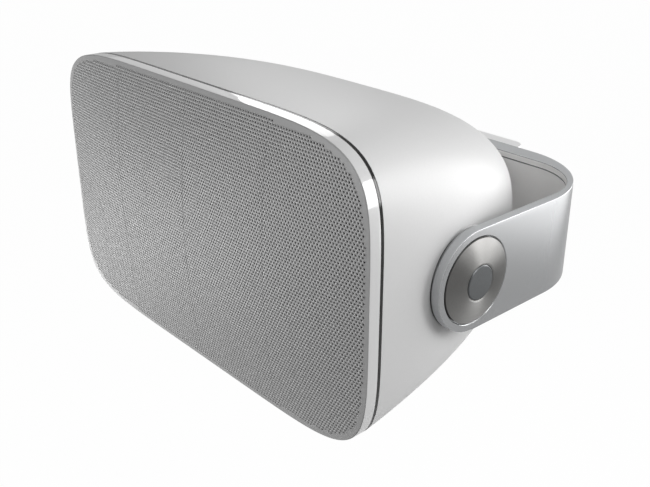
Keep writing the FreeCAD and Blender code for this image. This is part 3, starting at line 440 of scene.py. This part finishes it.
border = finishPiece("grille_tray", trayBorder(), "cabinet", facePaint, ["grille"],
                     tray["smoothAngle"])
border.data.materials.append(bandPaint)
for polygon in border.data.polygons:
    if polygon.center.y > front["rim"] + tray["paintLine"]:
        polygon.material_index = 1
    elif polygon.normal.y < tray["flatFacing"]:
        polygon.use_smooth = False
addModifier(border, "SOLIDIFY", thickness=tray["sheet"], offset=-1)
addModifier(border, "WEIGHTED_NORMAL", keep_sharp=True, weight=tray["normalWeight"])
print("tray made")

# The dust cloth, stretched behind the perforation
cloth = {
    "sideInset": 0.004,
    "topInset": 0.005,
    "step": 0.0015,
    "gap": 0.0002,
}


def dustCloth():
    columns = math.ceil(front["halfLength"] / cloth["step"])
    rows = math.ceil(front["halfHeight"] / cloth["step"])
    bm = bmesh.new()
    stretch = Matrix.Diagonal((columns * cloth["step"], rows * cloth["step"], 1, 1))
    tip = Matrix.Rotation(math.radians(90), 4, "X")
    bmesh.ops.create_grid(bm, x_segments=2 * columns, y_segments=2 * rows, size=1, matrix=tip @ stretch)
    spare = [vert for vert in bm.verts
             if not insideOval(vert.co.x, vert.co.z, cloth["sideInset"], cloth["topInset"])]
    bmesh.ops.delete(bm, geom=spare, context="VERTS")
    area = sum(face.calc_area() for face in bm.faces)
    for vert in bm.verts:
        vert.co.y = front["rim"] - domeHeight(vert.co.x, vert.co.z) + perforation["sheet"] + cloth["gap"]
    facesForward(bm)
    return bm, area


clothMesh, clothArea = dustCloth()
dust = finishPiece("dust_cloth", clothMesh, "cabinet", clothBlack, ["grille_cloth"])

# The felt pads that line the ends of the cabinet, with soft edges
pads = {
    "edgeRound": 0.003,
    "steps": 3,
    "fill": 0.9,
    "flatAngle": 1,
    "cornerAngle": 50,
    "smoothAngle": 60,
}
for end in ("left", "right"):
    felt = bmesh.new()
    felt.from_mesh(nodes["damping_pad_" + end].data)
    bmesh.ops.remove_doubles(felt, verts=felt.verts[:], dist=mergeDistance)
    bmesh.ops.dissolve_limit(felt, angle_limit=math.radians(pads["flatAngle"]), verts=felt.verts[:],
                             edges=felt.edges[:])
    corners = [edge for edge in felt.edges if edge.calc_face_angle(0) > math.radians(pads["cornerAngle"])]
    bmesh.ops.bevel(felt, geom=corners, offset=pads["edgeRound"], offset_type="OFFSET",
                    segments=pads["steps"], profile=0.5, affect="EDGES", material=-1, clamp_overlap=True)
    pad = finishPiece("felt_pad_" + end, felt, "cabinet", feltGrey, ["damping_pad_" + end],
                      pads["smoothAngle"])
print("cloth and pads made")

# The bent strap: a flat blank with round ends, thickened, bevelled and then bent
strap = {
    "armFace": strapHigh.x,
    "back": strapHigh.y,
    "halfWidth": strapHigh.z,
    "armThick": 0.0052,
    "spineThick": 0.0121,
    "outerBend": 0.057,
    "innerBend": 0.038,
    "bendSteps": 28,
    "endSteps": 40,
    "edgeRound": 0.0005,
    "edgeSteps": 3,
    "rimAngle": 60,
    "grooveDrop": 0.0042,
    "grooveWidth": 0.0009,
    "grooveDepth": 0.0009,
    "grooveEnd": 0.041,  # groove and liner stop this far before the pivot
    "flatFacing": 0.99,
    "sideFacing": 0.8,
    "capRecess": 0.0024,
    "capGap": 0.0007,
    "chamfer": 0.0005,
    "turnSteps": 96,
    "smoothAngle": 30,
    "normalWeight": 80,
}


def strapBlank():
    half = strap["halfWidth"]
    spine = strap["armFace"] - strap["outerBend"]
    bend = strap["outerBend"] * math.pi / 2
    pivot = spine + bend + (strap["back"] - strap["outerBend"] - pivotY)
    bm = bmesh.new()
    for side in (1, -1):
        first = bm.verts.new((side * pivot, -side * half, 0))
        bmesh.ops.spin(bm, geom=[first], cent=(side * pivot, 0, 0), axis=(0, 0, 1), dvec=(0, 0, 0),
                       angle=math.pi, steps=strap["endSteps"], use_merge=False)
    for side in (1, -1):
        ends = [vert for vert in bm.verts
                if abs(abs(vert.co.x) - pivot) < mergeDistance and vert.co.y * side > half / 2]
        bm.edges.new(ends)
    bmesh.ops.contextual_create(bm, geom=bm.edges[:])
    stations = [0.0, pivot, -pivot]
    for side in (1, -1):
        for step in range(strap["bendSteps"] + 1):
            stations.append(side * (spine + bend * step / strap["bendSteps"]))
    for station in stations:
        bmesh.ops.bisect_plane(bm, geom=bm.verts[:] + bm.edges[:] + bm.faces[:],
                               plane_co=(station, 0, 0), plane_no=(1, 0, 0))
    raised = bmesh.ops.extrude_face_region(bm, geom=bm.faces[:])
    top = [item for item in raised["geom"] if isinstance(item, bmesh.types.BMVert)]
    bmesh.ops.translate(bm, verts=top, vec=(0, 0, strap["armThick"]))
    bmesh.ops.recalc_face_normals(bm, faces=bm.faces[:])
    rims = [edge for edge in bm.edges if len(edge.link_faces) == 2
            and edge.calc_face_angle(0) > math.radians(strap["rimAngle"])]
    bmesh.ops.bevel(bm, geom=rims, offset=strap["edgeRound"], offset_type="OFFSET",
                    segments=strap["edgeSteps"], profile=0.5, affect="EDGES", material=-1)
    # the inner face, which is the raised side, is cut along both edges of each groove
    drop, wide = half - strap["grooveDrop"], strap["grooveWidth"] / 2
    for line in (drop + wide, drop - wide, -drop + wide, -drop - wide):
        bmesh.ops.bisect_plane(bm, geom=bm.verts[:] + bm.edges[:] + bm.faces[:],
                               plane_co=(0, line, 0), plane_no=(0, 1, 0))
    reach = pivot - strap["grooveEnd"]

    def onLiner(face):
        # the flat inner side between the arms' ends
        centre = face.calc_center_median()
        raised = centre.z > strap["armThick"] * strap["flatFacing"]
        return face.normal.z > strap["flatFacing"] and raised and abs(centre.x) < reach

    strips = [face for face in bm.faces
              if onLiner(face) and abs(abs(face.calc_center_median().y) - drop) < wide]
    sunk = bmesh.ops.extrude_face_region(bm, geom=strips)
    low = [item for item in sunk["geom"] if isinstance(item, bmesh.types.BMVert)]
    bmesh.ops.translate(bm, verts=low, vec=(0, 0, -strap["grooveDepth"]))
    bmesh.ops.delete(bm, geom=strips, context="FACES_ONLY")
    # index 1 is the liner; index 2, the rims, takes the lighter rim paint, which is a painted highlight
    for face in bm.faces:
        centre = face.calc_center_median()
        upright = abs(face.normal.z) < strap["sideFacing"]
        if onLiner(face):
            face.material_index = 1
        elif upright and centre.z < strap["armThick"] and abs(centre.y) > half / 2:
            face.material_index = 2
        elif upright and abs(centre.x) > pivot:
            face.material_index = 2
    return bm, spine, bend, pivot


def strapPath(along, spine, bend, pivot):
    # the outer and the inner line of the strap at a place along the blank
    side = math.copysign(1, along)
    place = abs(along)
    face, back = strap["armFace"], strap["back"]
    innerFace, innerBack = face - strap["armThick"], back - strap["spineThick"]
    innerSpine = innerFace - strap["innerBend"]
    if place <= spine:
        share = place / spine
        outer = Vector((place, back))
        inner = Vector((innerSpine * share, innerBack))
    elif place <= spine + bend:
        turn = (place - spine) / bend * math.pi / 2
        outer = Vector((spine + strap["outerBend"] * math.sin(turn),
                        back - strap["outerBend"] * (1 - math.cos(turn))))
        inner = Vector((innerSpine + strap["innerBend"] * math.sin(turn),
                        innerBack - strap["innerBend"] * (1 - math.cos(turn))))
    elif place <= pivot:
        share = (place - spine - bend) / (pivot - spine - bend)
        outer = Vector((face, (back - strap["outerBend"]) * (1 - share) + pivotY * share))
        inner = Vector((innerFace, (innerBack - strap["innerBend"]) * (1 - share) + pivotY * share))
    else:
        outer = Vector((face, pivotY - (place - pivot)))
        inner = Vector((innerFace, pivotY - (place - pivot)))
    return Vector((side * outer.x, outer.y)), Vector((side * inner.x, inner.y))


def bentStrap():
    bm, spine, bend, pivot = strapBlank()
    for vert in bm.verts:
        outer, inner = strapPath(vert.co.x, spine, bend, pivot)
        across = (inner - outer).normalized()
        if vert.co.z < strap["armThick"] / 2:
            spot = outer + across * vert.co.z
        else:
            spot = inner - across * (strap["armThick"] - vert.co.z)
        vert.co = Vector((spot.x, spot.y, vert.co.y))
    bmesh.ops.recalc_face_normals(bm, faces=bm.faces[:])
    return bm


def turnedCutter(name, profile, centre, side):
    # a body turned about X, from corners of (radius, distance along X)
    bm = bmesh.new()
    verts = [bm.verts.new((distance, radius, 0)) for radius, distance in profile]
    edges = [bm.edges.new(pair) for pair in zip(verts, verts[1:])]
    bmesh.ops.spin(bm, geom=verts + edges, cent=(0, 0, 0), axis=(1, 0, 0), dvec=(0, 0, 0),
                   angle=2 * math.pi, steps=strap["turnSteps"], use_merge=True)
    bmesh.ops.remove_doubles(bm, verts=bm.verts[:], dist=mergeDistance)
    if side < 0:
        bmesh.ops.scale(bm, vec=(-1, 1, 1), verts=bm.verts[:])
    bmesh.ops.translate(bm, verts=bm.verts[:], vec=centre)
    bmesh.ops.recalc_face_normals(bm, faces=bm.faces[:])
    mesh = bpy.data.meshes.new(name)
    bm.to_mesh(mesh)
    bm.free()
    cutter = bpy.data.objects.new(name, mesh)
    bpy.context.scene.collection.objects.link(cutter)
    return cutter


def cutAway(piece, cutters):
    # takes the cutters out of the piece for good
    for cutter in cutters:
        addModifier(piece, "BOOLEAN", object=cutter, operation="DIFFERENCE", solver="EXACT")
    bpy.context.view_layer.update()
    whole = bpy.data.meshes.new_from_object(
        piece.evaluated_get(bpy.context.evaluated_depsgraph_get()))
    piece.modifiers.clear()
    piece.data = whole
    for cutter in cutters:
        bpy.data.objects.remove(cutter)


capRadius = (capHigh.z - capLow.z) / 2
strapPiece = finishPiece("strap", bentStrap(), "mount", strapPaint, ["bracket_strap"],
                         strap["smoothAngle"])
strapPiece.data.materials.append(linerPaint)
strapPiece.data.materials.append(skyLitRimPaint)
cutters = []
for side in (1, -1):
    face, floor = strap["armFace"], strap["armFace"] - strap["capRecess"]
    mouth = capRadius + strap["capGap"]
    cutters.append(turnedCutter("cap_recess", [
        (0, floor), (mouth, floor), (mouth, face - strap["chamfer"]),
        (mouth + 2 * strap["chamfer"], face + strap["chamfer"]), (0, face + strap["chamfer"])],
        (0, pivotY, 0), side))
cutAway(strapPiece, cutters)
strapPiece.data.set_sharp_from_angle(angle=math.radians(strap["smoothAngle"]))
addModifier(strapPiece, "WEIGHTED_NORMAL", keep_sharp=True, weight=strap["normalWeight"])
print("strap bent")

# Camera, at the photograph's angle
lens = {
    "spot": (0.4081, -0.4605, 0.2099),
    "looks": (-0.68164, 0.60243, -0.41527),
    "focalLength": 49.9,
    "sensor": 36.0,
    "nearest": 0.01,
}
camera = bpy.data.objects.new("camera", bpy.data.cameras.new("camera"))
camera.data.lens = lens["focalLength"]
camera.data.sensor_width = lens["sensor"]
camera.location = lens["spot"]
camera.rotation_mode = "QUATERNION"
camera.rotation_quaternion = Vector(lens["looks"]).to_track_quat("-Z", "Y")
camera.data.clip_start = lens["nearest"]
bpy.context.scene.collection.objects.link(camera)
bpy.context.scene.camera = camera

# Floor, world and lamps
studio = {
    "floorDrop": 0.36,
    "floorSize": 30.0,
    "seenWhite": 0.985,
    "mirroredWhite": 0.4,
    "worldLight": 0.22,
    # name, place, aim, width, height, watts, and how the glow fades from its lower to its upper edge
    "lamps": [
        ("back", (-0.673, 0.514, 0.53), (0.05, -0.19, 0.08), 0.336, 0.50, 1.3, None),
        ("backLow", (-0.875, 0.304, 0.32), (-0.04, -0.195, 0.086), 0.23, 0.17, 0.035, None),
        ("rightNear", (0.733, 0.378, 0.242), (0.14, -0.195, 0.062), 0.28, 0.46, 2.8, None),
        ("rightMid", (0.56, 0.54, 0.175), (0.14, -0.15, 0.05), 0.28, 0.41, 1.2, None),
        ("rightFar", (0.30, 0.66, 0.175), (0.14, -0.15, 0.05), 0.28, 0.41, 2.1, None),
        ("rightTop", (0.45, -0.15, 0.38), (0.12, -0.13, 0.03), 0.25, 0.25, 1.0, None),
        ("low", (0.30, 0.375, -0.10), (0.036, 0.075, -0.10), 0.56, 0.24, 1.15, ((0.02, 0.0), (0.42, 1.0))),
        ("topFront", (0.0, -0.8, 0.9), (0.0, -0.15, 0.0), 0.5, 0.5, 1.2, None),
        ("left", (-0.64, -0.60, -0.36), (0.0, -0.18, 0.0), 0.4, 0.4, 5.2, None),
        ("front", (0.1, -1.0, 0.1), (0.0, -0.18, 0.0), 0.5, 0.5, 1.2, None),
    ],
}
floorMesh = bmesh.new()
bmesh.ops.create_grid(floorMesh, x_segments=1, y_segments=1, size=studio["floorSize"] / 2)
bmesh.ops.translate(floorMesh, verts=floorMesh.verts[:], vec=(0, 0, cadLow.z - studio["floorDrop"]))
floorData = bpy.data.meshes.new("floor")
floorMesh.to_mesh(floorData)
floorMesh.free()
floor = bpy.data.objects.new("floor", floorData)
bpy.context.scene.collection.objects.link(floor)
floorPaint = newMaterial("floor_paint", grey(0.60), 0.9)


def brightWhenSeen(tree, plain, output, seen, mirrored):
    # what the camera, mirrors and glass see turns towards plain white
    path = tree.nodes.new("ShaderNodeLightPath")
    parts = []
    shares = (("Is Camera Ray", seen), ("Is Glossy Ray", mirrored), ("Is Transmission Ray", mirrored))
    for socket, share in shares:
        scaled = tree.nodes.new("ShaderNodeMath")
        scaled.operation = "MULTIPLY"
        scaled.inputs[1].default_value = share
        tree.links.new(path.outputs[socket], scaled.inputs[0])
        parts.append(scaled)
    whole = parts[0]
    for part in parts[1:]:
        either = tree.nodes.new("ShaderNodeMath")
        either.operation = "MAXIMUM"
        tree.links.new(whole.outputs[0], either.inputs[0])
        tree.links.new(part.outputs[0], either.inputs[1])
        whole = either
    kind = "ShaderNodeEmission" if output.type == "OUTPUT_MATERIAL" else "ShaderNodeBackground"
    white = tree.nodes.new(kind)
    white.inputs["Color"].default_value = (1, 1, 1, 1)
    white.inputs["Strength"].default_value = 1
    mix = tree.nodes.new("ShaderNodeMixShader")
    tree.links.new(whole.outputs[0], mix.inputs["Fac"])
    tree.links.new(plain, mix.inputs[1])
    tree.links.new(white.outputs[0], mix.inputs[2])
    tree.links.new(mix.outputs[0], output.inputs["Surface"])


brightWhenSeen(floorPaint.node_tree, floorPaint.node_tree.nodes["Principled BSDF"].outputs[0],
               floorPaint.node_tree.nodes["Material Output"], studio["seenWhite"], studio["mirroredWhite"])
floor.data.materials.append(floorPaint)
world = bpy.data.worlds.new("studio")
bpy.context.scene.world = world
world.use_nodes = True
world.node_tree.nodes["Background"].inputs["Color"].default_value = (1, 1, 1, 1)
world.node_tree.nodes["Background"].inputs["Strength"].default_value = studio["worldLight"]
brightWhenSeen(world.node_tree, world.node_tree.nodes["Background"].outputs[0],
               world.node_tree.nodes["World Output"], 1.0, studio["mirroredWhite"])


def fadeLamp(lamp, fade):
    # the glow runs from one strength to the other along the lamp's height
    lamp.use_nodes = True
    tree = lamp.node_tree
    glow = tree.nodes["Emission"]
    grid = tree.nodes.new("ShaderNodeNewGeometry")
    split = tree.nodes.new("ShaderNodeSeparateXYZ")
    span = tree.nodes.new("ShaderNodeMapRange")
    span.interpolation_type = "SMOOTHSTEP"
    (low, dark), (high, bright) = fade
    for socket, value in (("From Min", low), ("From Max", high), ("To Min", dark), ("To Max", bright)):
        span.inputs[socket].default_value = value
    tree.links.new(grid.outputs["Parametric"], split.inputs[0])
    tree.links.new(split.outputs["Y"], span.inputs["Value"])
    tree.links.new(span.outputs["Result"], glow.inputs["Strength"])


for name, spot, aim, width, height, power, fade in studio["lamps"]:
    lamp = bpy.data.lights.new(name, "AREA")
    lamp.shape = "RECTANGLE"
    lamp.size = width
    lamp.size_y = height
    lamp.energy = power
    if fade:
        fadeLamp(lamp, fade)
    holder = bpy.data.objects.new(name, lamp)
    holder.location = spot
    holder.rotation_mode = "QUATERNION"
    holder.rotation_quaternion = (Vector(aim) - Vector(spot)).to_track_quat("-Z", "Y")
    holder.visible_camera = False
    bpy.context.scene.collection.objects.link(holder)
bpy.context.scene.view_settings.view_transform = "Standard"
print("studio set")
